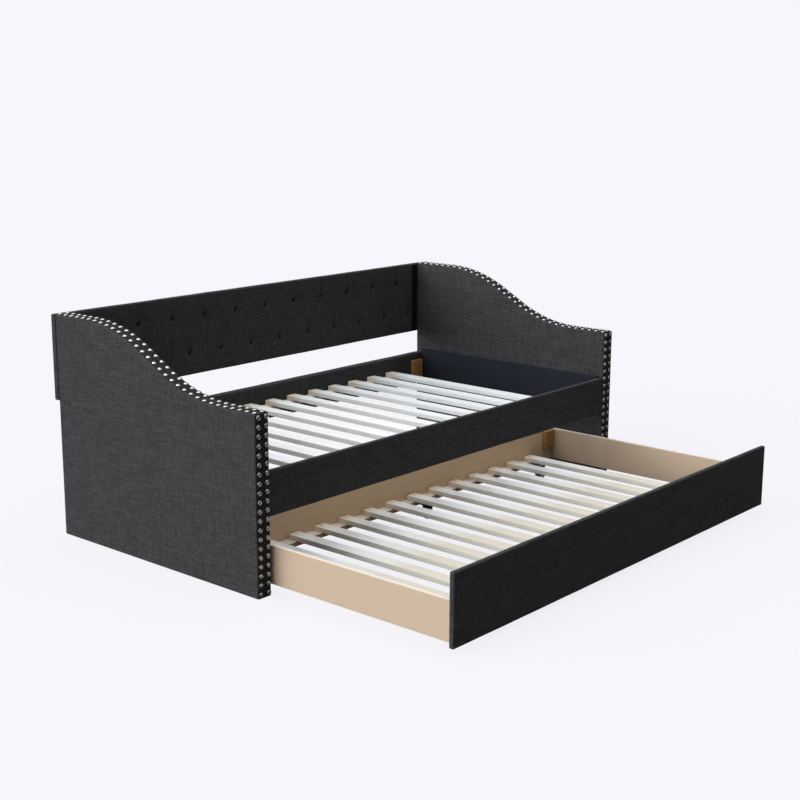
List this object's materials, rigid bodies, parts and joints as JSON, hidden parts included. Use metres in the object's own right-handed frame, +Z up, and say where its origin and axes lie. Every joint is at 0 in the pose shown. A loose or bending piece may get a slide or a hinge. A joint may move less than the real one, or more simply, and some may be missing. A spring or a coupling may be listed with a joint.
{
  "type": "trundle bed",
  "caption": "Upholstered daybed with scrolled arms, tufted low back and slatted base over a slatted pull-out trundle on casters.",
  "frame": {"origin": "on the floor, at the middle of the object's box with the trundle pulled out 757 mm", "axes": "+X along the bed's length, to the right as seen from the front; -Y is the front, where the trundle pulls out; +Z up"},
  "size_m": [2.071, 1.8172, 0.822],
  "materials": {
    "fabric": "charcoal woven linen-look upholstery",
    "lining": "dark blue-black smooth lining cloth",
    "board_wood": "clear finished birch-faced board",
    "slat_wood": "pale planed softwood",
    "post_wood": "plain brown timber block",
    "frame_wood": "rough frame board, hidden in the upholstery",
    "black_steel": "black coated pressed steel",
    "wheel_rubber": "grey moulded wheel",
    "nickel": "polished domed nailheads",
    "screw_steel": "slat screws"
  },
  "bodies": {
    "daybed": {"left_arm_frame": "frame_wood", "right_arm_frame": "frame_wood", "left_arm_cover": "fabric", "right_arm_cover": "fabric", "backrest_board": "frame_wood", "backrest_cover": "fabric", "front_rail": "fabric", "back_rail": "fabric", "left_end_rail": "lining", "right_end_rail": "lining", "front_ledger": "board_wood", "back_ledger": "board_wood", "left_rear_post": "post_wood", "right_rear_post": "post_wood", "bed_slat_01": "slat_wood", "bed_slat_02": "slat_wood", "bed_slat_03": "slat_wood", "bed_slat_04": "slat_wood", "bed_slat_05": "slat_wood", "bed_slat_06": "slat_wood", "bed_slat_07": "slat_wood", "bed_slat_08": "slat_wood", "bed_slat_09": "slat_wood", "bed_slat_10": "slat_wood", "bed_slat_11": "slat_wood", "bed_slat_12": "slat_wood", "bed_slat_13": "slat_wood"},
    "trundle": {"trundle_front": "fabric", "trundle_left_side": "board_wood", "trundle_right_side": "board_wood", "trundle_back": "board_wood", "trundle_front_ledger": "board_wood", "trundle_back_ledger": "board_wood", "trundle_left_post": "post_wood", "trundle_right_post": "post_wood", "trundle_slat_01": "slat_wood", "trundle_slat_02": "slat_wood", "trundle_slat_03": "slat_wood", "trundle_slat_04": "slat_wood", "trundle_slat_05": "slat_wood", "trundle_slat_06": "slat_wood", "trundle_slat_07": "slat_wood", "trundle_slat_08": "slat_wood", "trundle_slat_09": "slat_wood", "trundle_slat_10": "slat_wood", "trundle_slat_11": "slat_wood", "trundle_slat_12": "slat_wood", "trundle_slat_13": "slat_wood", "caster_bracket_1": "black_steel", "caster_bracket_2": "black_steel", "caster_bracket_3": "black_steel", "caster_bracket_4": "black_steel", "caster_bracket_5": "black_steel", "caster_bracket_6": "black_steel"},
    "wheel_1": {"caster_wheel_1": "wheel_rubber"},
    "wheel_2": {"caster_wheel_2": "wheel_rubber"},
    "wheel_3": {"caster_wheel_3": "wheel_rubber"},
    "wheel_4": {"caster_wheel_4": "wheel_rubber"},
    "wheel_5": {"caster_wheel_5": "wheel_rubber"},
    "wheel_6": {"caster_wheel_6": "wheel_rubber"}
  },
  "joints": [
    {"name": "trundle_slide", "type": "slide", "parent": "daybed", "child": "trundle", "axis": [0, -1, 0], "range_m": [-0.757, 0.35]},
    {"name": "caster_wheel_1_spin", "type": "hinge", "parent": "trundle", "child": "wheel_1", "pos_m": [-0.7448, -0.79865, 0.022], "axis": [1, 0, 0], "continuous": true},
    {"name": "caster_wheel_2_spin", "type": "hinge", "parent": "trundle", "child": "wheel_2", "pos_m": [0, -0.79865, 0.022], "axis": [1, 0, 0], "continuous": true},
    {"name": "caster_wheel_3_spin", "type": "hinge", "parent": "trundle", "child": "wheel_3", "pos_m": [0.7448, -0.79865, 0.022], "axis": [1, 0, 0], "continuous": true},
    {"name": "caster_wheel_4_spin", "type": "hinge", "parent": "trundle", "child": "wheel_4", "pos_m": [-0.7448, -0.00215, 0.022], "axis": [1, 0, 0], "continuous": true},
    {"name": "caster_wheel_5_spin", "type": "hinge", "parent": "trundle", "child": "wheel_5", "pos_m": [0, -0.00215, 0.022], "axis": [1, 0, 0], "continuous": true},
    {"name": "caster_wheel_6_spin", "type": "hinge", "parent": "trundle", "child": "wheel_6", "pos_m": [0.7448, -0.00215, 0.022], "axis": [1, 0, 0], "continuous": true}
  ],
  "couplings": [
    {"joint": "caster_wheel_1_spin", "follows": "trundle_slide", "rad_per_m": 45.455},
    {"joint": "caster_wheel_2_spin", "follows": "trundle_slide", "rad_per_m": 45.455},
    {"joint": "caster_wheel_3_spin", "follows": "trundle_slide", "rad_per_m": 45.455},
    {"joint": "caster_wheel_4_spin", "follows": "trundle_slide", "rad_per_m": 45.455},
    {"joint": "caster_wheel_5_spin", "follows": "trundle_slide", "rad_per_m": 45.455},
    {"joint": "caster_wheel_6_spin", "follows": "trundle_slide", "rad_per_m": 45.455}
  ]
}
